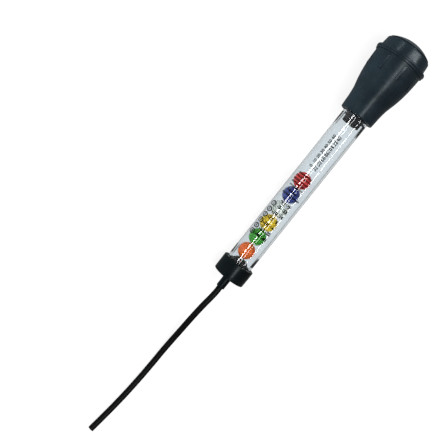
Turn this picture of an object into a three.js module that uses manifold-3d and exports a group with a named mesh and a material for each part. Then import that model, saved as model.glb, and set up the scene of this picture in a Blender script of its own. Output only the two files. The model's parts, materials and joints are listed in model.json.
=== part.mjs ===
import * as THREE from 'three';
import { mergeVertices } from 'three/addons/utils/BufferGeometryUtils.js';
import Module from 'manifold-3d';

const wasm = await Module();
wasm.setup();

// Antifreeze tester: a rubber bulb draws coolant through a hose into a clear barrel, where six
// balls of rising weight float or sink. Sizes are in millimetres. It lies on a table, on the
// bulb's flange and the end cap. Places along it are measured from the end cap's outer face.

const clearance = 0.3; // gap between pieces that touch
const roundSides = 24; // flat faces round each turned piece, one of them facing the table
const overrun = 1; // how far a cutting tool runs past what it cuts

// Clear barrel.
const barrelRadius = 9.65;
const barrelWall = 1.55;
const barrelLength = 149.2;

// End cap with the nipple that grips the hose.
const capWall = 2.05;
const capLength = 12.4;
const capEdge = 0.5;
const socketDepth = 8.6;
const nippleRadius = 3.1;
const nippleLength = 9.4;
const nippleEdge = 0.3;
const feedRadius = 1.4;

// Slotted plugs that keep the balls off both ends of the barrel.
const plugHoleRadius = 1.5;
const plugSlotWidth = 2;
const plugSlotDepth = 1.6;
const plugSlots = 3;
const seatPlay = 2.2; // between the seat's body and the bore
const seatFlange = 1.6;
const seatHeight = 11.7;
const stopPlay = 1.7; // between the stop's body and the bore
const stopFlange = 1;
const stopLength = 6.5;
const stopDepth = 14.1; // from the barrel's upper end down to the stop

// Float balls.
const ballRadius = 6;
const ballSides = 16;
const ballRings = 10;

// Squeeze bulb, up from the mouth of its neck.
const neckGrip = 13.9;
const neckWall = 2.55;
const mouthEdge = 0.5;
const waistHeight = 13.5;
const waistRadius = 13.6;
const bodyHeight = 44.1;
const bodyRadius = 17.7;
const flangeStepRadius = 18.6;
const flangeStep = 1.3;
const flangeRadius = 19.15;
const flangeRing = 2.3;
const flangeEdge = 0.4;
const crownRadius = 17.15;
const crownHeight = 8.1;
const crownTopRadius = 16.3;
const crownEdge = 0.9;
const domeRadius = 26;
const bulbWall = 2.3;
const ledgeWidth = 1.55;
const ledgeThickness = 1.6;
const ribCount = 8;
const ribWidth = 1.9;
const ribLength = 10.6;
const ribReach = 0.1; // how far the ribs stand out past the widest body
const ribTurn = THREE.MathUtils.degToRad(17);
const bodyCurveHeightShares = [0.118, 0.346];
const bodyCurveRadiusShares = [0.049, 0.976];
const bodyCurveSteps = 10;
const domeSteps = 6;

// Pickup hose, and the points of its route from the nipple, down to the table and along it.
const hoseRadius = 2.2;
const hoseSides = 10;
const hoseSteps = 14;
const hoseRoute = [
  [-105.35, 0, 11.5],
  [-109.5, 0, 11.34],
  [-115, 0.4, 10.95],
  [-121, 0.9, 10.3],
  [-129, 0.95, 9.1],
  [-137, 0.5, 7.65],
  [-145, -0.1, 6.2],
  [-153, -0.7, 4.75],
  [-161, -1, 3.6],
  [-169, -1.15, 2.75],
  [-177, -1.05, 2.35],
  [-185, -0.55, 2.25],
  [-193, 0.15, 2.25],
  [-201, 1.05, 2.25],
  [-209, 2.1, 2.25],
  [-217, 3.35, 2.25],
  [-225, 4.8, 2.25],
  [-233, 6.4, 2.25],
  [-243.5, 8.6, 2.25],
];

// Sizes and places that follow.
const facetShare = Math.cos(Math.PI / roundSides);
const halfStep = Math.PI / roundSides;
const boreRadius = barrelRadius - barrelWall;
const seatRadius = boreRadius - seatPlay;
const stopRadius = boreRadius - stopPlay;
const socketRadius = barrelRadius + clearance;
const capRadius = socketRadius + capWall;
const mouthRadius = socketRadius + neckWall;
const ledgeRadius = socketRadius - ledgeWidth;
const socketFloor = capLength - socketDepth;
const barrelStart = socketFloor + clearance;
const barrelEnd = barrelStart + barrelLength;
const seatTop = barrelStart + seatHeight;
const ballPitch = 2 * ballRadius + clearance;
const firstBall = seatTop + clearance + ballRadius;
const ballNames = ['orange', 'green', 'yellow', 'white', 'blue', 'red'];
const stopEnd = barrelEnd - stopDepth;
const stopStart = stopEnd - stopLength;
const ballDrop = boreRadius * facetShare - ballRadius - clearance;
const mouth = barrelEnd - neckGrip;
const flangeStart = mouth + bodyHeight;
const ringStart = flangeStart + flangeStep;
const flangeEnd = ringStart + flangeRing;
const crownTop = flangeEnd + crownHeight;
const domeCentre = crownTop - Math.sqrt(domeRadius ** 2 - crownTopRadius ** 2);
const lean = Math.atan(
  (facetShare * (flangeRadius - capRadius)) / (ringStart + flangeEdge - capEdge),
);

function material(color, roughness, extra = {}) {
  return new THREE.MeshStandardMaterial({ color, roughness, metalness: 0, ...extra });
}

const blackRubber = material(0x22282b, 0.55);
const blackPlastic = material(0x14181a, 0.4);
const hoseRubber = material(0x121415, 0.5);
const clearPlastic = material(0xdfe8ec, 0.05, { transparent: true, opacity: 0.3 });
const ballColors = {
  orange: 0xf07314,
  green: 0x4ba52d,
  yellow: 0xe1b914,
  white: 0xe4e6df,
  blue: 0x3c4696,
  red: 0xc81e28,
};

// A round solid from [radius, place] points, with its axis along +X and a flat face down.
function turned(outline) {
  const points = outline.map(([radius, place]) => new THREE.Vector2(radius, place));
  const solid = new THREE.LatheGeometry(points, roundSides, halfStep, 2 * Math.PI);
  solid.rotateZ(-Math.PI / 2);
  return solid;
}

function toManifold(geometry) {
  const bare = geometry.clone();
  bare.deleteAttribute('normal');
  bare.deleteAttribute('uv');
  const merged = mergeVertices(bare);
  const vertProperties = new Float32Array(merged.attributes.position.array);
  const triVerts = new Uint32Array(merged.index.array);
  return new wasm.Manifold(new wasm.Mesh({ numProp: 3, vertProperties, triVerts }));
}

function toGeometry(solid) {
  const mesh = solid.getMesh();
  const geometry = new THREE.BufferGeometry();
  geometry.setAttribute('position', new THREE.BufferAttribute(mesh.vertProperties, 3));
  geometry.setIndex(new THREE.BufferAttribute(mesh.triVerts, 1));
  geometry.computeVertexNormals();
  return geometry;
}

function named(name, geometry, finish) {
  const mesh = new THREE.Mesh(geometry, finish);
  mesh.name = name;
  return mesh;
}

// Clear tube, open at both ends.
function barrel() {
  const wall = turned([
    [boreRadius, barrelStart],
    [barrelRadius, barrelStart],
    [barrelRadius, barrelEnd],
    [boreRadius, barrelEnd],
    [boreRadius, barrelStart],
  ]);
  return named('barrel', wall, clearPlastic);
}

// Rubber cap over the barrel's lower end, with a socket inside and a bored nipple below.
function endCap() {
  const nippleEnd = -nippleLength;
  const outline = [
    [feedRadius, nippleEnd],
    [nippleRadius - nippleEdge, nippleEnd],
    [nippleRadius, nippleEnd + nippleEdge],
    [nippleRadius, 0],
    [capRadius - capEdge, 0],
    [capRadius, capEdge],
    [capRadius, capLength - capEdge],
    [capRadius - capEdge, capLength],
    [socketRadius, capLength],
    [socketRadius, socketFloor],
    [feedRadius, socketFloor],
    [feedRadius, nippleEnd],
  ];
  return named('end_cap', turned(outline), blackRubber);
}

// Slots cut across a plug's face, from the given place on, with a tooth left facing the table.
function slotCutters(radius, from) {
  return Array.from({ length: plugSlots }, (_, i) => {
    const depth = plugSlotDepth + overrun;
    const slot = new THREE.BoxGeometry(depth, 2 * (radius + overrun), plugSlotWidth);
    slot.translate(from + depth / 2, 0, 0);
    slot.rotateX((i * Math.PI) / plugSlots);
    return toManifold(slot);
  });
}

function slotted(solid, radius, from) {
  return slotCutters(radius, from).reduce((left, cutter) => left.subtract(cutter), solid);
}

// Bored plug that the lowest ball rests on. Its flange sits in the bore, on the socket's floor.
function ballSeat() {
  const flangeTop = barrelStart + seatFlange;
  const body = turned([
    [plugHoleRadius, barrelStart],
    [boreRadius - clearance, barrelStart],
    [boreRadius - clearance, flangeTop],
    [seatRadius, flangeTop],
    [seatRadius, seatTop],
    [plugHoleRadius, seatTop],
    [plugHoleRadius, barrelStart],
  ]);
  const cut = slotted(toManifold(body), seatRadius, seatTop - plugSlotDepth);
  return named('ball_seat', toGeometry(cut), blackPlastic);
}

// The same kind of plug upside down, which stops the highest ball below the bulb.
function ballStop() {
  const flangeBottom = stopEnd - stopFlange;
  const body = turned([
    [plugHoleRadius, stopStart],
    [stopRadius, stopStart],
    [stopRadius, flangeBottom],
    [boreRadius - clearance, flangeBottom],
    [boreRadius - clearance, stopEnd],
    [plugHoleRadius, stopEnd],
    [plugHoleRadius, stopStart],
  ]);
  const cut = slotted(toManifold(body), stopRadius, stopStart - overrun);
  return named('ball_stop', toGeometry(cut), blackPlastic);
}

// One ball lying on the floor of the bore, with its poles along the barrel.
function ball(name, index) {
  const solid = new THREE.SphereGeometry(ballRadius, ballSides, ballRings);
  solid.rotateZ(-Math.PI / 2);
  const mesh = named(`ball_${name}`, solid, material(ballColors[name], 0.45));
  mesh.position.set(firstBall + index * ballPitch, 0, -ballDrop);
  return mesh;
}

// The swell from the neck's waist to the flange, as one curve, moved in by the wall inside.
function bodyCurve(inset) {
  const rise = bodyHeight - waistHeight;
  const spread = bodyRadius - waistRadius;
  const start = new THREE.Vector2(waistRadius, mouth + waistHeight);
  const controls = bodyCurveHeightShares.map(
    (share, i) =>
      new THREE.Vector2(
        start.x + bodyCurveRadiusShares[i] * spread,
        start.y + share * rise,
      ),
  );
  const end = new THREE.Vector2(bodyRadius, flangeStart);
  const curve = new THREE.CubicBezierCurve(start, ...controls, end);
  return curve.getPoints(bodyCurveSteps).map((p) => [p.x - inset, p.y]);
}

// A dome's points from its rim to its top, as an arc about the dome's centre.
function domeArc(radius, rimRadius) {
  const rimAngle = Math.asin(rimRadius / radius);
  return Array.from({ length: domeSteps + 1 }, (_, i) => {
    const angle = rimAngle * (1 - i / domeSteps);
    return [radius * Math.sin(angle), domeCentre + radius * Math.cos(angle)];
  });
}

function bulbOuter() {
  return [
    [mouthRadius - mouthEdge, mouth],
    [mouthRadius, mouth + mouthEdge],
    ...bodyCurve(0),
    [flangeStepRadius, flangeStart],
    [flangeStepRadius, ringStart],
    [flangeRadius - flangeEdge, ringStart],
    [flangeRadius, ringStart + flangeEdge],
    [flangeRadius, flangeEnd - flangeEdge],
    [flangeRadius - flangeEdge, flangeEnd],
    [crownRadius, flangeEnd],
    [crownTopRadius, crownTop - crownEdge],
    ...domeArc(domeRadius, crownTopRadius - crownEdge),
  ];
}

function bulbInner() {
  const ledgeStart = barrelEnd + clearance;
  const ledgeEnd = ledgeStart + ledgeThickness;
  const swell = bodyCurve(bulbWall).filter(([, place]) => place > ledgeEnd + bulbWall);
  return [
    [socketRadius, mouth],
    [socketRadius, ledgeStart],
    [ledgeRadius, ledgeStart],
    [ledgeRadius, ledgeEnd],
    ...swell,
    ...domeArc(domeRadius - bulbWall, crownTopRadius - bulbWall),
  ];
}

// Short upright bars under the flange, which stand out more where the body narrows.
function ribs() {
  const outside = bodyRadius + ribReach;
  const depth = bulbWall / 2 + ribReach;
  const top = flangeStart - ribWidth;
  return Array.from({ length: ribCount }, (_, i) => {
    const bar = new THREE.BoxGeometry(ribLength, depth, ribWidth);
    bar.translate(top - ribLength / 2, outside - depth / 2, 0);
    bar.rotateX(ribTurn + (2 * Math.PI * i) / ribCount);
    return toManifold(bar);
  });
}

// Hollow rubber bulb. Its neck slides over the barrel's upper end, up to a ledge.
function squeezeBulb() {
  const skin = turned([...bulbInner().reverse(), ...bulbOuter()]);
  const whole = ribs().reduce((solid, rib) => solid.add(rib), toManifold(skin));
  return named('squeeze_bulb', toGeometry(whole), blackRubber);
}

// Limp black hose, cut square at its far end.
function pickupHose() {
  const route = new THREE.CatmullRomCurve3(
    hoseRoute.map(([x, y, z]) => new THREE.Vector3(x, y, z)),
    false,
    'centripetal',
  );
  const section = new THREE.Shape(
    Array.from({ length: hoseSides }, (_, i) => {
      const angle = (2 * Math.PI * (i + 0.5)) / hoseSides;
      return new THREE.Vector2(hoseRadius * Math.cos(angle), hoseRadius * Math.sin(angle));
    }),
  );
  const tube = new THREE.ExtrudeGeometry(section, { steps: hoseSteps, extrudePath: route });
  return named('pickup_hose', tube, hoseRubber);
}

const turnedPieces = new THREE.Group();
turnedPieces.add(squeezeBulb(), barrel(), ballStop(), ballSeat(), endCap());
turnedPieces.add(...ballNames.map(ball));
turnedPieces.rotation.y = -lean;

// The origin is the middle of the rigid pieces' footprint, on the table.
const footprint = new THREE.Box3().setFromObject(turnedPieces, true);
const middle = footprint.getCenter(new THREE.Vector3());
turnedPieces.position.set(-middle.x, 0, -footprint.min.z);

const tester = new THREE.Group();
tester.add(turnedPieces, pickupHose());

export default tester;
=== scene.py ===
import json
import math
import random

import bpy
from mathutils import Matrix, Vector


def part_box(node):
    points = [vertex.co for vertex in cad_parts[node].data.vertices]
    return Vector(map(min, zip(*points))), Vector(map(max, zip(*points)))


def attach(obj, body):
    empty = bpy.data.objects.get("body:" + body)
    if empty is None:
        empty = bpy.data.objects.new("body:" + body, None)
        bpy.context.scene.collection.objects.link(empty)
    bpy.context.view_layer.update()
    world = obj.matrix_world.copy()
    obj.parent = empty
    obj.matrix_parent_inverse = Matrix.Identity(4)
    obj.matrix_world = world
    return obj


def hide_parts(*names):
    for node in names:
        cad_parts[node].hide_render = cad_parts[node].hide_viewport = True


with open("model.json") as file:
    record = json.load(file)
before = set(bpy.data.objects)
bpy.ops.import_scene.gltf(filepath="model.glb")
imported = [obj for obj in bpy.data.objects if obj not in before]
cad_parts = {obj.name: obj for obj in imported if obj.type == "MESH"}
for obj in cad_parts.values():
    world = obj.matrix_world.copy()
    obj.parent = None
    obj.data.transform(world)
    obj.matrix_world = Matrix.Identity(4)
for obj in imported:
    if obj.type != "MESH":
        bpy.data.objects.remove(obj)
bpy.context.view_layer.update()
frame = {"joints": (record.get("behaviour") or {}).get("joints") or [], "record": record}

# Camera: it stands beside the tester and above the table, and it is turned so that the
# barrel runs from the lower left to the upper right.
camera_place = (-0.026676, 0.335847, 0.350611)
camera_turn = (-30.493, -29.165, -46.972)
camera_film = 36
camera_lens = 57.37
bpy.ops.object.select_all(action="DESELECT")
bpy.ops.object.camera_add(
    location=camera_place,
    rotation=[math.radians(turn) for turn in camera_turn],
)
camera = bpy.context.object
camera.data.sensor_width = camera_film
camera.data.lens = camera_lens
bpy.context.scene.camera = camera

# Pickup hose: limp black rubber tubing that grips inside the end cap's nipple, sags to the
# table and lies along it. It is drawn along its route, and its far end is cut square and bored.
hose_radius = 0.0022
hose_bore = 0.0012
hose_bore_depth = 0.012
hose_steps = 8
hose_roundness = 14
hose_crease = math.radians(40)
hose_finish = {
    "dark": (0.002, 0.002, 0.002),
    "light": (0.004, 0.004, 0.004),
    "roughness": 0.42,
    "shine": 0.15,
}
hose_exit = (-0.10535, 0, 0.0115)
hose_route = [
    (-0.10235, 0, 0.01162),
    hose_exit,
    (-0.1095, 0, 0.01134),
    (-0.115, 0.0004, 0.01095),
    (-0.121, 0.0009, 0.0103),
    (-0.129, 0.00095, 0.0091),
    (-0.137, 0.0005, 0.00765),
    (-0.145, -0.0001, 0.0062),
    (-0.153, -0.0007, 0.00475),
    (-0.161, -0.001, 0.0036),
    (-0.169, -0.00115, 0.00275),
    (-0.177, -0.00105, 0.00235),
    (-0.185, -0.00055, 0.00225),
    (-0.193, 0.00015, 0.00225),
    (-0.201, 0.00105, 0.00225),
    (-0.209, 0.0021, 0.00225),
    (-0.217, 0.00335, 0.00225),
    (-0.225, 0.0048, 0.00225),
    (-0.233, 0.0064, 0.00225),
    (-0.2435, 0.0086, 0.00225),
]


def finish(name):
    """A new material: itself, its node tree, its shader and the object's coordinates."""
    material = bpy.data.materials.new(name)
    material.use_nodes = True
    tree = material.node_tree
    shader = tree.nodes["Principled BSDF"]
    place = tree.nodes.new("ShaderNodeTexCoord").outputs["Object"]
    return material, tree, shader, place


def speckle(tree, place, scale, detail=3.0):
    """Noise of that many cells to a metre."""
    noise = tree.nodes.new("ShaderNodeTexNoise")
    noise.inputs["Scale"].default_value = scale
    noise.inputs["Detail"].default_value = detail
    tree.links.new(place, noise.inputs["Vector"])
    return noise.outputs["Fac"]


noise_low, noise_high = 0.3, 0.7
dark_end, light_end = 0.35, 0.65


def spread(tree, value, low, high):
    """That noise, drawn out between two numbers."""
    ramp = tree.nodes.new("ShaderNodeMapRange")
    ramp.inputs["From Min"].default_value = noise_low
    ramp.inputs["From Max"].default_value = noise_high
    ramp.inputs["To Min"].default_value = low
    ramp.inputs["To Max"].default_value = high
    tree.links.new(value, ramp.inputs["Value"])
    return ramp.outputs["Result"]


def two_tone(tree, value, dark, light):
    """A colour between two others, as that noise says."""
    ramp = tree.nodes.new("ShaderNodeValToRGB")
    ramp.color_ramp.elements[0].position = dark_end
    ramp.color_ramp.elements[0].color = (*dark, 1)
    ramp.color_ramp.elements[1].position = light_end
    ramp.color_ramp.elements[1].color = (*light, 1)
    tree.links.new(value, ramp.inputs["Fac"])
    return ramp.outputs["Color"]


def grain(tree, shader, place, scale, strength, depth):
    """Small bumps all over the surface, that many to a metre and that deep in metres."""
    bump = tree.nodes.new("ShaderNodeBump")
    bump.inputs["Strength"].default_value = strength
    bump.inputs["Distance"].default_value = depth
    tree.links.new(speckle(tree, place, scale), bump.inputs["Height"])
    tree.links.new(bump.outputs["Normal"], shader.inputs["Normal"])


rubber_bloom = 90
rubber_handling = 260
rubber_wear = 0.06
rubber_grain = {"scale": 3500, "strength": 0.25, "depth": 0.00005}


def rubber(name, dark, light, roughness, shine):
    """Moulded black rubber: a faint bloom, a sheen worn by handling and a fine grain."""
    material, tree, shader, place = finish(name)
    shader.inputs["Specular IOR Level"].default_value = shine
    bloom = speckle(tree, place, rubber_bloom)
    tree.links.new(two_tone(tree, bloom, dark, light), shader.inputs["Base Color"])
    handling = speckle(tree, place, rubber_handling)
    sheen = spread(tree, handling, roughness - rubber_wear, roughness + rubber_wear)
    tree.links.new(sheen, shader.inputs["Roughness"])
    grain(tree, shader, place, **rubber_grain)
    return material


bpy.ops.object.select_all(action="DESELECT")
bpy.ops.curve.primitive_bezier_curve_add()
hose = bpy.context.object
hose.name = "hose"
line = hose.data.splines[0]
line.bezier_points.add(len(hose_route) - len(line.bezier_points))
for point, place in zip(line.bezier_points, hose_route):
    point.co = place
    point.handle_left_type = point.handle_right_type = "AUTO"
hose.data.resolution_u = hose_steps
hose.data.bevel_depth = hose_radius
hose.data.bevel_resolution = hose_roundness
hose.data.use_fill_caps = True
bpy.ops.object.convert(target="MESH")
hose_tip = Vector(hose_route[-1])
for face in hose.data.polygons:
    face.select = len(face.vertices) > 4 and (face.center - hose_tip).length < hose_radius
bpy.ops.object.mode_set(mode="EDIT")
bpy.ops.mesh.select_mode(type="FACE")
bpy.ops.mesh.inset(thickness=hose_radius - hose_bore)
bpy.ops.mesh.inset(thickness=0, depth=-hose_bore_depth)
bpy.ops.object.mode_set(mode="OBJECT")
bpy.ops.object.shade_smooth_by_angle(angle=hose_crease)
hose.data.materials.append(rubber("hose_rubber", **hose_finish))
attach(hose, "tester")
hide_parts("pickup_hose")

# End cap: a moulded black rubber boot, pushed over the lower end of the barrel, with a nipple
# that holds the hose. A ring is drawn out along its outline, and the piece is then laid along
# the tester's axis.
cap_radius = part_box("end_cap")[1].y
cap_length = 0.0124
cap_flare = 0.0001
cap_socket = 0.00975
cap_floor = 0.0038
cap_edge = 0.0006
socket_edge = 0.0003
nipple_radius = 0.0031
nipple_length = 0.0094
nipple_root = 0.0007
nipple_edge = 0.0004
nipple_socket = 0.00224
nipple_socket_depth = 0.005
feed_radius = 0.0014
cap_face = Vector(frame["record"]["mounts"][0]["pos_m"])
cap_face.y = 0
along = Vector(frame["joints"][0]["axis"]).normalized()
far_side = Vector((0, -1, 0))
above = far_side.cross(along)
lie = Matrix.Translation(cap_face) @ Matrix((above, far_side, along)).transposed().to_4x4()
hair = 0.0000004
crease = math.radians(35)


def turned(name, outline, sides=144):
    """A piece made on a lathe from (radius, place) points, with its axis along Z. A point on
    the axis starts a hair beside it, so that its ring can widen, and is closed at the end."""
    outline = [(max(radius, hair), place) for radius, place in outline]
    bpy.ops.object.select_all(action="DESELECT")
    bpy.ops.mesh.primitive_circle_add(vertices=sides, radius=outline[0][0])
    piece = bpy.context.object
    piece.name = name
    bpy.ops.object.mode_set(mode="EDIT")
    bpy.ops.mesh.select_mode(type="EDGE")
    bpy.ops.mesh.select_all(action="SELECT")
    bpy.ops.transform.translate(value=(0, 0, outline[0][1]))
    for (radius, place), (next_radius, next_place) in zip(outline, outline[1:]):
        move = {"value": (0, 0, next_place - place)}
        bpy.ops.mesh.extrude_region_move(TRANSFORM_OT_translate=move)
        if next_radius != radius:
            scale = next_radius / radius
            centre = (0, 0, next_place)
            bpy.ops.transform.resize(value=(scale, scale, 1), center_override=centre)
    bpy.ops.mesh.select_all(action="SELECT")
    bpy.ops.mesh.remove_doubles(threshold=3 * hair)
    bpy.ops.mesh.normals_make_consistent(inside=False)
    bpy.ops.object.mode_set(mode="OBJECT")
    return piece


def corner(centre, radius, start, end, steps=5):
    """The points of a rounded corner of an outline, from one angle to another, in degrees."""
    points = []
    for i in range(steps + 1):
        angle = math.radians(start + (end - start) * i / steps)
        across, up = radius * math.cos(angle), radius * math.sin(angle)
        points.append((centre[0] + across, centre[1] + up))
    return points


def modify(piece, kind, **settings):
    """A modifier, set and applied."""
    modifier = piece.modifiers.new(kind.lower(), kind)
    for key, value in settings.items():
        setattr(modifier, key, value)
    bpy.context.view_layer.objects.active = piece
    bpy.ops.object.modifier_apply(modifier=modifier.name)


def laid(piece, material, body, *nodes):
    """The piece, laid along the tester's axis, with its material, its body and its node."""
    bpy.ops.object.select_all(action="DESELECT")
    piece.select_set(True)
    bpy.context.view_layer.objects.active = piece
    piece.matrix_world = lie
    bpy.ops.object.transform_apply(location=True, rotation=True, scale=True)
    bpy.ops.object.shade_smooth_by_angle(angle=crease)
    piece.data.materials.clear()
    piece.data.materials.append(material)
    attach(piece, body)
    if nodes:
        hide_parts(*nodes)


cap_outline = [
    (nipple_socket, -nipple_length),
    *corner((nipple_radius - nipple_edge, -nipple_length + nipple_edge), nipple_edge, -90, 0),
    (nipple_radius, -2 * nipple_root),
    *corner((nipple_radius + nipple_root, -nipple_root), nipple_root, 180, 90),
    *corner((cap_radius - cap_edge, cap_edge), cap_edge, -90, 0),
    *corner((cap_radius + cap_flare - cap_edge, cap_length - cap_edge), cap_edge, 0, 90),
    *corner((cap_socket + socket_edge, cap_length - socket_edge), socket_edge, 90, 180, steps=3),
    (cap_socket, cap_floor),
    (feed_radius, cap_floor),
    (feed_radius, nipple_socket_depth - nipple_length),
    (nipple_socket, nipple_socket_depth - nipple_length),
    (nipple_socket, -nipple_length),
]
cap_finish = {
    "dark": (0.0024, 0.0062, 0.0078),
    "light": (0.0046, 0.0104, 0.0124),
    "roughness": 0.27,
    "shine": 0.15,
}
cap = turned("cap", cap_outline)
laid(cap, rubber("boot_rubber", **cap_finish), "tester", "end_cap")

# Ball seat: a black moulded plug in the barrel's lower end. Its slots let coolant past the
# lowest ball, and two tongues press it against the bore. It is turned and bored, crossed bars
# cut its slots, and its edges are rounded.
barrel_radius = 0.00965
bore_radius = 0.0081
barrel_start = 0.0041
barrel_end = 0.1533
seat_radius = 0.0059
seat_top = 0.0158
seat_cone = 0.002
seat_flange = 0.0016
plug_hole = 0.0015
plug_gap = 0.0001
plug_sides = 96
plug_edge = 0.0002
slot_width = 0.002
slot_depth = 0.0016
slot_count = 3
flow_cells = 220
flow_detail = 5.0
polish_cells = 700
polish_wear = 0.05
plastic_shine = 0.25
plastic_depth = 0.003
plastic_reach = (0.6, 0.6, 0.6)
plastic_grain = {"scale": 2600, "strength": 0.12, "depth": 0.00003}


def moulded(name, dark, light, roughness, scatter=0.0):
    """Injection-moulded plastic with a faint flow pattern, an uneven polish and a fine grain,
    into which some light may sink."""
    material, tree, shader, place = finish(name)
    flow = speckle(tree, place, flow_cells, flow_detail)
    tree.links.new(two_tone(tree, flow, dark, light), shader.inputs["Base Color"])
    polish = speckle(tree, place, polish_cells)
    gloss = spread(tree, polish, roughness - polish_wear, roughness + polish_wear)
    tree.links.new(gloss, shader.inputs["Roughness"])
    shader.inputs["Specular IOR Level"].default_value = plastic_shine
    shader.inputs["Subsurface Weight"].default_value = scatter
    shader.inputs["Subsurface Radius"].default_value = plastic_reach
    shader.inputs["Subsurface Scale"].default_value = plastic_depth
    grain(tree, shader, place, **plastic_grain)
    return material


def slotted(piece, radius, end):
    """A plug with crossed slots cut into the end at that place, and with its edges rounded."""
    for i in range(slot_count):
        bpy.ops.object.select_all(action="DESELECT")
        bpy.ops.mesh.primitive_cube_add(size=1, location=(0, 0, end))
        bar = bpy.context.object
        bar.scale = (slot_width, 3 * radius, 2 * slot_depth)
        bar.rotation_euler.z = math.pi * i / slot_count
        bpy.ops.object.transform_apply(location=True, rotation=True, scale=True)
        modify(piece, "BOOLEAN", object=bar, operation="DIFFERENCE", solver="EXACT")
        bpy.data.objects.remove(bar)
    modify(piece, "WELD", merge_threshold=plug_edge / 20)
    edges = {"limit_method": "ANGLE", "angle_limit": crease}
    modify(piece, "BEVEL", width=plug_edge, segments=2, **edges)
    modify(piece, "WELD", merge_threshold=plug_edge / 100)


front_turn = -45
tongue_reach = 0.00012
tongue_wall = 0.00035
tongue_turns = (front_turn - 86, front_turn + 78)
tongue_half_turn = 15
tongue_taper = 0.96
tongue_tip = 0.6
tongue_cells = 12
seat_tongues = (0.0153, 0.0232)


def tongues(piece, root, tip):
    """Two tapered tongues that press a plug against the bore, from their root to their tip."""
    for turn in tongue_turns:
        bpy.ops.object.select_all(action="DESELECT")
        bpy.ops.mesh.primitive_grid_add(
            x_subdivisions=tongue_cells, y_subdivisions=tongue_cells, size=2
        )
        tongue = bpy.context.object
        for point in tongue.data.vertices:
            across, up, _ = point.co
            share = (up + 1) / 2
            narrowing = math.sqrt(max(0, 1 - share**2))
            half = tongue_half_turn * narrowing * tongue_taper + tongue_tip
            angle = math.radians(turn + across * half)
            radius = bore_radius + tongue_reach - tongue_wall
            point.co = (
                radius * math.cos(angle),
                radius * math.sin(angle),
                root + share * (tip - root),
            )
        bpy.ops.object.mode_set(mode="EDIT")
        bpy.ops.mesh.select_all(action="SELECT")
        bpy.ops.mesh.normals_make_consistent(inside=False)
        bpy.ops.object.mode_set(mode="OBJECT")
        middle = tongue.data.polygons[len(tongue.data.polygons) // 2]
        if middle.normal.dot(Vector((middle.center.x, middle.center.y, 0))) < 0:
            tongue.data.flip_normals()
        modify(tongue, "SOLIDIFY", thickness=tongue_wall, offset=1)
        bpy.ops.object.select_all(action="DESELECT")
        tongue.select_set(True)
        piece.select_set(True)
        bpy.context.view_layer.objects.active = piece
        bpy.ops.object.join()


plug_finish = {
    "dark": (0.004, 0.005, 0.006),
    "light": (0.007, 0.008, 0.009),
    "roughness": 0.6,
}
plug_plastic = moulded("plug_plastic", **plug_finish)
seat_outline = [
    (plug_hole, barrel_start),
    (bore_radius - plug_gap, barrel_start),
    (bore_radius - plug_gap, barrel_start + seat_flange),
    (seat_radius, barrel_start + seat_flange),
    (seat_radius, seat_top - seat_cone),
    (seat_radius - seat_cone, seat_top),
    (plug_hole, seat_top),
    (plug_hole, barrel_start),
]
seat = turned("seat", seat_outline, sides=plug_sides)
slotted(seat, seat_radius, seat_top)
tongues(seat, *seat_tongues)
laid(seat, plug_plastic, "tester", "ball_seat")

# Float balls: smooth moulded spheres of six weights, one colour each, with a fine parting
# line, in a row along the lower side of the bore. One sphere, whose middle edge is widened
# into a raised band, is copied for each colour.
ball_radius = 0.00612
ball_clearance = 0.00002
ball_rest = bore_radius - ball_radius - ball_clearance
ball_segments = 64
ball_crease = math.radians(60)
ball_polish = 0.32
ball_scatter = 0.08
white_scatter = 0.35
seam_width = 0.00025
seam_share = 1.004
ball_colours = {
    "orange": ((0.84, 0.12, 0.003), (0.9, 0.15, 0.006)),
    "green": ((0.024, 0.31, 0.01), (0.034, 0.37, 0.015)),
    "yellow": ((0.88, 0.57, 0.012), (0.93, 0.63, 0.018)),
    "white": ((0.72, 0.74, 0.67), (0.8, 0.82, 0.75)),
    "blue": ((0.018, 0.038, 0.22), (0.026, 0.05, 0.27)),
    "red": ((0.8, 0.03, 0.028), (0.88, 0.042, 0.038)),
}
ball_seed = 4


def copied(piece):
    """A copy of a piece, with a mesh of its own, selected alone."""
    copy = piece.copy()
    copy.data = piece.data.copy()
    bpy.context.collection.objects.link(copy)
    bpy.ops.object.select_all(action="DESELECT")
    copy.select_set(True)
    bpy.context.view_layer.objects.active = copy
    return copy


bpy.ops.object.select_all(action="DESELECT")
bpy.ops.mesh.primitive_uv_sphere_add(
    segments=ball_segments, ring_count=ball_segments // 2, radius=ball_radius
)
first_ball = bpy.context.object
bpy.ops.object.mode_set(mode="EDIT")
bpy.ops.mesh.select_all(action="DESELECT")
bpy.ops.object.mode_set(mode="OBJECT")
heights = [abs(point.co.z) for point in first_ball.data.vertices]
for edge in first_ball.data.edges:
    edge.select = all(heights[v] < seam_width / 4 for v in edge.vertices)
bpy.ops.object.mode_set(mode="EDIT")
bpy.ops.mesh.select_mode(type="EDGE")
bpy.ops.mesh.bevel(offset=seam_width / 2, segments=2)
bpy.ops.transform.resize(value=(seam_share, seam_share, 1))
bpy.ops.object.mode_set(mode="OBJECT")
bpy.ops.object.shade_smooth_by_angle(angle=ball_crease)
turns = random.Random(ball_seed)
balls = []
for colour, (dark, light) in ball_colours.items():
    ball = copied(first_ball)
    ball.name = f"float_{colour}"
    ball.rotation_euler = [turns.uniform(0, math.pi) for _ in range(3)]
    low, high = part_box(f"ball_{colour}")
    reach = ((low + high) / 2 - cap_face).dot(along)
    ball.location = cap_face + reach * along - ball_rest * above
    bpy.ops.object.transform_apply(location=True, rotation=True, scale=True)
    scatter = white_scatter if colour == "white" else ball_scatter
    plastic = moulded(f"{colour}_plastic", dark, light, ball_polish, scatter)
    ball.data.materials.append(plastic)
    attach(ball, f"{colour}_float")
    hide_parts(f"ball_{colour}")
    balls.append(ball)
bpy.data.objects.remove(first_ball)

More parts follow.
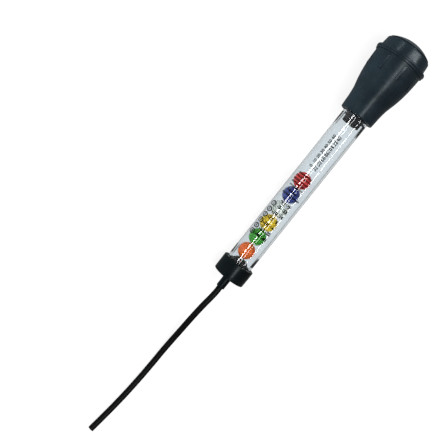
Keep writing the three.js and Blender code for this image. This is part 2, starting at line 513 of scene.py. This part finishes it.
# Barrel: a clear extruded plastic tube, polished inside and outside. It is turned with both
# of its walls, so that light bends in it as in the real one.
barrel_edge = 0.00015
barrel_sides = 256
barrel_tint = (0.8, 0.845, 0.87)
barrel_polish = 0.015
clear_bending = 1.49
clear_cells = 400
barrel_outline = [
    (bore_radius, barrel_start + barrel_edge),
    (bore_radius + barrel_edge, barrel_start),
    (barrel_radius - barrel_edge, barrel_start),
    (barrel_radius, barrel_start + barrel_edge),
    (barrel_radius, barrel_end - barrel_edge),
    (barrel_radius - barrel_edge, barrel_end),
    (bore_radius + barrel_edge, barrel_end),
    (bore_radius, barrel_end - barrel_edge),
    (bore_radius, barrel_start + barrel_edge),
]


def clear(name, tint, roughness):
    """Clear plastic, which bends what is seen in it and lets lamplight through. A wall has
    two faces, so the lamplight takes the root of the tint at each."""
    material, tree, shader, place = finish(name)
    shader.inputs["Base Color"].default_value = (*tint, 1)
    shader.inputs["Transmission Weight"].default_value = 1
    shader.inputs["IOR"].default_value = clear_bending
    polish = speckle(tree, place, clear_cells)
    gloss = spread(tree, polish, roughness / 2, roughness)
    tree.links.new(gloss, shader.inputs["Roughness"])
    lamp = tree.nodes.new("ShaderNodeBsdfTransparent")
    lamp.inputs["Color"].default_value = (*(math.sqrt(share) for share in tint), 1)
    choice = tree.nodes.new("ShaderNodeMixShader")
    path = tree.nodes.new("ShaderNodeLightPath")
    tree.links.new(path.outputs["Is Shadow Ray"], choice.inputs["Fac"])
    tree.links.new(shader.outputs["BSDF"], choice.inputs[1])
    tree.links.new(lamp.outputs["BSDF"], choice.inputs[2])
    tree.links.new(choice.outputs["Shader"], tree.nodes["Material Output"].inputs["Surface"])
    return material


barrel = turned("tube", barrel_outline, sides=barrel_sides)
laid(barrel, clear("clear_plastic", barrel_tint, barrel_polish), "tester", "barrel")

# Print: black ink on the side of the barrel that faces the user. Rows of short bars stand over
# a table of six numbered rows with two temperature scales, and two columns of numbers run up
# the barrel. Every mark is made flat and then laid round the barrel.
ink_lift = 0.00004
ink_radius = barrel_radius + ink_lift
ink_depth = 0.00001
ink_finish = {
    "dark": (0.003, 0.003, 0.003),
    "light": (0.006, 0.006, 0.006),
    "roughness": 0.5,
}
figure_steps = 3
figure_weight = 0.00018
marks = []


def wrapped(mark, turn, place):
    """A flat mark, laid round the barrel so many degrees from the print's middle."""
    bpy.ops.object.transform_apply(location=True, rotation=True, scale=True)
    for point in mark.data.vertices:
        across, up, lift = point.co
        angle = math.radians(front_turn) + math.radians(turn) + across / ink_radius
        radius = ink_radius + lift
        point.co = (radius * math.cos(angle), radius * math.sin(angle), place + up)
    marks.append(mark)


def figures(text, size, turn, place, quarters=0, weight=figure_weight):
    """Figures in ink, turned by so many quarters and made bolder all round by the weight."""
    bpy.ops.object.select_all(action="DESELECT")
    bpy.ops.object.text_add(rotation=(0, 0, quarters * math.pi / 2))
    figure = bpy.context.object
    figure.data.body = text
    figure.data.size = size
    figure.data.align_x = "CENTER"
    figure.data.align_y = "CENTER"
    figure.data.bevel_depth = weight
    figure.data.bevel_resolution = 0
    figure.data.resolution_u = figure_steps
    bpy.ops.object.convert(target="MESH")
    figure = bpy.context.object
    figure.scale.z = ink_depth / weight
    wrapped(figure, turn, place)


table_rows = [
    ("1", "-5", "23"),
    ("2", "-10", "14"),
    ("3", "-15", "5"),
    ("4", "-20", "-4"),
    ("5", "-30", "-22"),
    ("6", "-40", "-40"),
]
top_row = 0.0601
row_pitch = 0.00472
ring_turn = -47
table_turns = (ring_turn, -14, 17)
figure_size = 0.0031
ring_figure = 0.0023
figure_sizes = (ring_figure, figure_size, figure_size)
heading_place = 0.0638
ring_radius = 0.0016
ring_line = 0.00035
ring_segments = (32, 8)
ring_stretch = 1.3
bpy.ops.object.select_all(action="DESELECT")
bpy.ops.mesh.primitive_torus_add(
    major_radius=ring_radius,
    minor_radius=ring_line,
    major_segments=ring_segments[0],
    minor_segments=ring_segments[1],
)
first_ring = bpy.context.object
first_ring.scale = (ring_stretch, 1, ink_depth / ring_line)
for i, row in enumerate(table_rows):
    place = top_row - i * row_pitch
    for text, turn, size in zip(row, table_turns, figure_sizes):
        figures(text, size, turn, place)
    wrapped(copied(first_ring), ring_turn, place)
bpy.data.objects.remove(first_ring)
for text, turn in zip(("°C", "°F"), table_turns[1:]):
    figures(text, figure_size, turn, heading_place)

column_bottom = 0.0952
column_pitch = 0.004
column_weight = 0.00009
celsius_column = {"size": 0.0031, "turn": -18.5}
fahrenheit_column = {"size": 0.0034, "turn": 4}
celsius_marks = range(0, 70, 10)
for i, celsius in enumerate(celsius_marks):
    place = column_bottom + i * column_pitch
    upward = {"place": place, "quarters": 1, "weight": column_weight}
    fahrenheit = celsius * 9 // 5 + 32
    figures(f"{celsius}", **celsius_column, **upward)
    figures(f"{fahrenheit}", **fahrenheit_column, **upward)

tick_width = 0.00048
tick_pitch = 0.0007
tick_rows = [
    (0.0873, 0.0013, -42, 24),
    (0.0849, 0.0013, -46, 25),
    (0.0824, 0.0013, -47, 25),
    (0.08, 0.0013, -46, 24),
    (0.0773, 0.0011, -42, 22),
    (0.0734, 0.0013, -36, 14),
    (0.0704, 0.0013, -50, 38),
]
for place, height, first_turn, last_turn in tick_rows:
    bpy.ops.object.select_all(action="DESELECT")
    bpy.ops.mesh.primitive_cube_add(size=1)
    tick = bpy.context.object
    tick.scale = (tick_width, height, 2 * ink_depth)
    bpy.ops.object.transform_apply(location=True, rotation=True, scale=True)
    modify(tick, "BEVEL", width=ink_depth / 2, segments=1)
    modify(
        tick,
        "ARRAY",
        count=1 + int(math.radians(last_turn - first_turn) * ink_radius / tick_pitch),
        use_relative_offset=False,
        use_constant_offset=True,
        constant_offset_displace=(tick_pitch, 0, 0),
    )
    wrapped(tick, first_turn, place)

bpy.ops.object.select_all(action="DESELECT")
for mark in marks:
    mark.select_set(True)
bpy.context.view_layer.objects.active = marks[0]
bpy.ops.object.join()
figures_print = bpy.context.object
figures_print.name = "print"
laid(figures_print, moulded("ink", **ink_finish), "tester")

# Ball stop: the same kind of plug upside down, pressed into the barrel's upper end under the
# bulb, so that the highest ball stays in the barrel.
stop_radius = 0.0064
stop_start = 0.1327
stop_end = 0.1377
stop_flange = 0.0009
stop_tongues = (0.1372, 0.1275)
stop_outline = [
    (plug_hole, stop_start),
    (stop_radius, stop_start),
    (stop_radius, stop_end - stop_flange),
    (bore_radius - plug_gap, stop_end - stop_flange),
    (bore_radius - plug_gap, stop_end),
    (plug_hole, stop_end),
    (plug_hole, stop_start),
]
stop = turned("stop", stop_outline, sides=plug_sides)
slotted(stop, stop_radius, stop_start)
tongues(stop, *stop_tongues)
laid(stop, plug_plastic, "tester", "ball_stop")

# Squeeze bulb: hollow blue-black rubber, moulded in one piece. Its neck grips the barrel, a
# stepped flange runs round it under a crown with a shallow dome, and short bars stand on it.
# One outline, of the chamber and then of the outside, is turned, and copies of a bar join it.
mouth = 0.1394
neck_radius = 0.0125
neck_edge = 0.0006
neck_start = (0.0128, 0.1445)
neck_swell = [(0.0129, 0.148), (0.0133, 0.151)]
neck_steps = 8
waist = (0.0136, 0.1529)
shoulder = (0.0177, 0.1835)
swell = [(0.0138, 0.1565), (0.0176, 0.1635)]
swell_steps = 28


def bezier(start, controls, end, steps):
    """Points of a curve between two places of an outline."""
    handles = [Vector((*point, 0)) for point in (start, *controls, end)]
    points = []
    for i in range(steps + 1):
        t = i / steps
        u = 1 - t
        shares = (u**3, 3 * u * u * t, 3 * u * t * t, t**3)
        points.append(sum((h * s for h, s in zip(handles, shares)), Vector((0, 0, 0))).xy)
    return [tuple(point) for point in points]


def dome(centre, radius, rim, steps):
    """A dome's points, from its rim to its top, with the centre's place on the axis."""
    start = math.asin(rim / radius)
    angles = [start * (1 - i / steps) for i in range(steps + 1)]
    return [(radius * math.sin(a), centre + radius * math.cos(a)) for a in angles]


step_start = shoulder[1]
step_radius = 0.0186
step_edge = 0.0003
flange_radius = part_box("squeeze_bulb")[1].y
flange_start = 0.1848
flange_end = 0.1866
flange_edge = 0.0005
crown_radius = 0.01715
crown_foot = 0.0004
crown_top = 0.1941
crown_top_radius = 0.0165
crown_edge = 0.0009
crown_turns = (5, 70)
dome_radius = 0.0273
dome_inset = 0.0004
dome_rim = crown_top_radius - crown_edge - dome_inset
dome_top = 0.1997
dome_centre = dome_top - dome_radius
dome_steps = 24
groove_depth = 0.0009
groove_radius = dome_rim - groove_depth
groove_width = 0.0013
outside = [
    *corner((neck_radius - neck_edge, mouth + neck_edge), neck_edge, -90, 0),
    *bezier(neck_start, neck_swell, waist, neck_steps),
    *bezier(waist, swell, shoulder, swell_steps)[1:],
    (step_radius - step_edge, step_start),
    (step_radius, step_start + step_edge),
    (step_radius, flange_start),
    *corner((flange_radius - flange_edge, flange_start + flange_edge), flange_edge, -90, 0),
    *corner((flange_radius - flange_edge, flange_end - flange_edge), flange_edge, 0, 90),
    (crown_radius + crown_foot, flange_end),
    (crown_radius, flange_end + crown_foot),
    *corner(
        (crown_top_radius - crown_edge, crown_top - crown_edge), crown_edge, *crown_turns, steps=6
    ),
    (groove_radius, crown_top),
    (groove_radius, crown_top + groove_width),
    *dome(dome_centre, dome_radius, dome_rim, dome_steps),
]
bulb_wall = 0.0023
chamber_rim = 0.0122
chamber_steps = 10
chamber_side = [(0.0146, 0.1905), (0.0154, 0.1835), (0.0126, 0.1585)]
grip_radius = 0.00973
ledge = (0.0084, 0.1536)
ledge_thickness = 0.0016
inside = [
    *reversed(dome(dome_centre, dome_radius - bulb_wall, chamber_rim, chamber_steps)),
    *chamber_side,
    (ledge[0], ledge[1] + ledge_thickness),
    ledge,
    (grip_radius, ledge[1]),
    (grip_radius, mouth),
]
bulb_finish = {
    "dark": (0.013, 0.0255, 0.035),
    "light": (0.018, 0.0345, 0.048),
    "roughness": 0.29,
    "shine": 0.2,
}
bulb = turned("bulb", [*inside, *outside])

bar_count = 8
bar_width = 0.0019
bar_length = 0.0106
bar_outside = 0.01782
bar_depth = 0.0014
bar_top = 0.1816
bar_turn = 17
bar_edge = 0.0003
bar_place = (bar_outside - bar_depth / 2, 0, bar_top - bar_length / 2)
bpy.ops.object.select_all(action="DESELECT")
bpy.ops.mesh.primitive_cube_add(size=1, location=bar_place)
first_bar = bpy.context.object
first_bar.scale = (bar_depth, bar_width, bar_length)
bpy.ops.object.transform_apply(location=True, rotation=True, scale=True)
modify(first_bar, "BEVEL", width=bar_edge, segments=3)
for i in range(bar_count):
    bar = copied(first_bar)
    bar.rotation_euler.z = math.radians(bar_turn) + 2 * math.pi * i / bar_count
    bpy.ops.object.transform_apply(location=True, rotation=True, scale=True)
    modify(bulb, "BOOLEAN", object=bar, operation="UNION", solver="EXACT")
    bpy.data.objects.remove(bar)
bpy.data.objects.remove(first_bar)
laid(bulb, rubber("bulb_rubber", **bulb_finish), "tester", "squeeze_bulb")

# Table and light: a white table that keeps a faint shadow, a pale room, and soft lamps round
# the tester. Long lamps put the white lines on the barrel and the sheen on the rubber, and
# broad ones light the pieces all over.
table_size = 8
table_white = (0.8, 0.8, 0.8, 1)
table_shade = (0.12, 0.12, 0.12, 1)
bpy.ops.object.select_all(action="DESELECT")
bpy.ops.mesh.primitive_plane_add(size=table_size)
table = bpy.context.object
table.name = "table"


def brightness(tree, straight, mirrored, turned_back, lighting):
    """How bright a white surface is: straight ahead or through clear plastic, mirrored by a
    surface, turned back inside the plastic, and as a light on the tester. Gives back whether
    it is seen at all, and how bright."""
    path = tree.nodes.new("ShaderNodeLightPath").outputs

    def combined(first, second, operation="ADD", third=None):
        """Two values added, subtracted or multiplied, with the result held from 0 to 1 unless
        a third one is added to it."""
        step = tree.nodes.new("ShaderNodeMath")
        step.operation = operation
        step.use_clamp = third is None
        tree.links.new(first, step.inputs[0])
        for place, value in ((1, second), (2, third)):
            if isinstance(value, (int, float)):
                step.inputs[place].default_value = value
            elif value:
                tree.links.new(value, step.inputs[place])
        return step.outputs["Value"]

    gloss = combined(path["Is Glossy Ray"], path["Is Transmission Ray"], "SUBTRACT")
    gloss = combined(gloss, path["Diffuse Depth"], "SUBTRACT")
    seen = combined(path["Is Camera Ray"], path["Is Transmission Ray"])
    seen = combined(seen, path["Diffuse Depth"], "SUBTRACT")
    seen = combined(seen, gloss)
    direct = combined(seen, path["Glossy Depth"], "SUBTRACT")
    level = combined(seen, turned_back - lighting, "MULTIPLY_ADD", lighting)
    level = combined(gloss, mirrored - turned_back, "MULTIPLY_ADD", level)
    return seen, combined(direct, straight - turned_back, "MULTIPLY_ADD", level)


table_finish = bpy.data.materials.new("table_white")
table_finish.use_nodes = True
tree = table_finish.node_tree
tree.nodes.clear()
matt = tree.nodes.new("ShaderNodeBsdfDiffuse")
matt.inputs["Color"].default_value = table_white
shaded = tree.nodes.new("ShaderNodeBsdfDiffuse")
shaded.inputs["Color"].default_value = table_shade
glow = tree.nodes.new("ShaderNodeEmission")
seen, level = brightness(tree, straight=0.9, mirrored=0.1, turned_back=0.62, lighting=0)
tree.links.new(level, glow.inputs["Strength"])
both = tree.nodes.new("ShaderNodeAddShader")
choice = tree.nodes.new("ShaderNodeMixShader")
output = tree.nodes.new("ShaderNodeOutputMaterial")
tree.links.new(shaded.outputs["BSDF"], both.inputs[0])
tree.links.new(glow.outputs["Emission"], both.inputs[1])
tree.links.new(seen, choice.inputs["Fac"])
tree.links.new(matt.outputs["BSDF"], choice.inputs[1])
tree.links.new(both.outputs["Shader"], choice.inputs[2])
tree.links.new(choice.outputs["Shader"], output.inputs["Surface"])
table.data.materials.append(table_finish)

room = bpy.data.worlds.new("room")
bpy.context.scene.world = room
room.use_nodes = True
tree = room.node_tree
air = tree.nodes["Background"]
air.inputs["Color"].default_value = (1, 1, 1, 1)
seen, level = brightness(tree, straight=1, mirrored=0.2, turned_back=0.28, lighting=0.35)
tree.links.new(level, air.inputs["Strength"])

lit_pieces = {
    "plastic": [barrel],
    "balls": balls,
    "bulb": [bulb],
    "rubber": [bulb, cap, hose],
    "white": [table],
}
lit_by = {"all": None}
for name, pieces in lit_pieces.items():
    lit_by[name] = bpy.data.collections.new(f"{name}_lit")
    for piece in pieces:
        lit_by[name].objects.link(piece)

# Each lamp: how many degrees it has risen round the axis from the front, its place along the
# axis, its length and width, its level, what it lights, and whether in gloss or all over.
lamps = {
    "strip_front": (26, 0.05, 0.66, 0.42, 19, "plastic", "glossy"),
    "strip_camera": (47.5, 0.05, 0.66, 0.26, 9, "plastic", "glossy"),
    "strip_above": (95, 0.05, 0.66, 0.24, 15, "plastic", "glossy"),
    "key": (65, 0.08, 1.4, 0.28, 13, "rubber", "glossy"),
    "end": (85, 1.2, 0.6, 1.6, 13, "rubber", "glossy"),
    "low": (1, 1.15, 0.6, 0.4, 10, "rubber", "glossy"),
    "fill_front": (4, 0.08, 2, 0.7, 3.8, "all", "diffuse"),
    "fill_balls": (115, 0.08, 1.4, 0.5, 5, "balls", "diffuse"),
    "fill_end": (140, 8, 4, 4, 32, "bulb", "diffuse"),
    "fill_table": (90, 0.05, 2.4, 2.4, 3.3, "white", "diffuse"),
}
lamp_distance = 2
plain_white = (1, 1, 1)
cool_white = (0.87, 0.96, 1)
for name, (rise, place, length, width, level, receivers, rays) in lamps.items():
    angle = math.radians(rise)
    towards = math.sin(angle) * above - math.cos(angle) * far_side
    spot = cap_face + place * along + lamp_distance * towards
    bpy.ops.object.light_add(type="AREA", location=spot)
    lamp = bpy.context.object
    lamp.name = name
    lamp.rotation_euler = Matrix((along, towards.cross(along), towards)).transposed().to_euler()
    lamp.data.color = cool_white if receivers == "rubber" else plain_white
    lamp.data.shape = "RECTANGLE"
    lamp.data.size = length
    lamp.data.size_y = width
    lamp.data.energy = level * math.pi * length * width
    lamp.visible_glossy = rays == "glossy"
    lamp.visible_diffuse = rays == "diffuse"
    lamp.visible_transmission = False
    lamp.light_linking.receiver_collection = lit_by[receivers]

view = bpy.context.scene.view_settings
view.view_transform = "Standard"
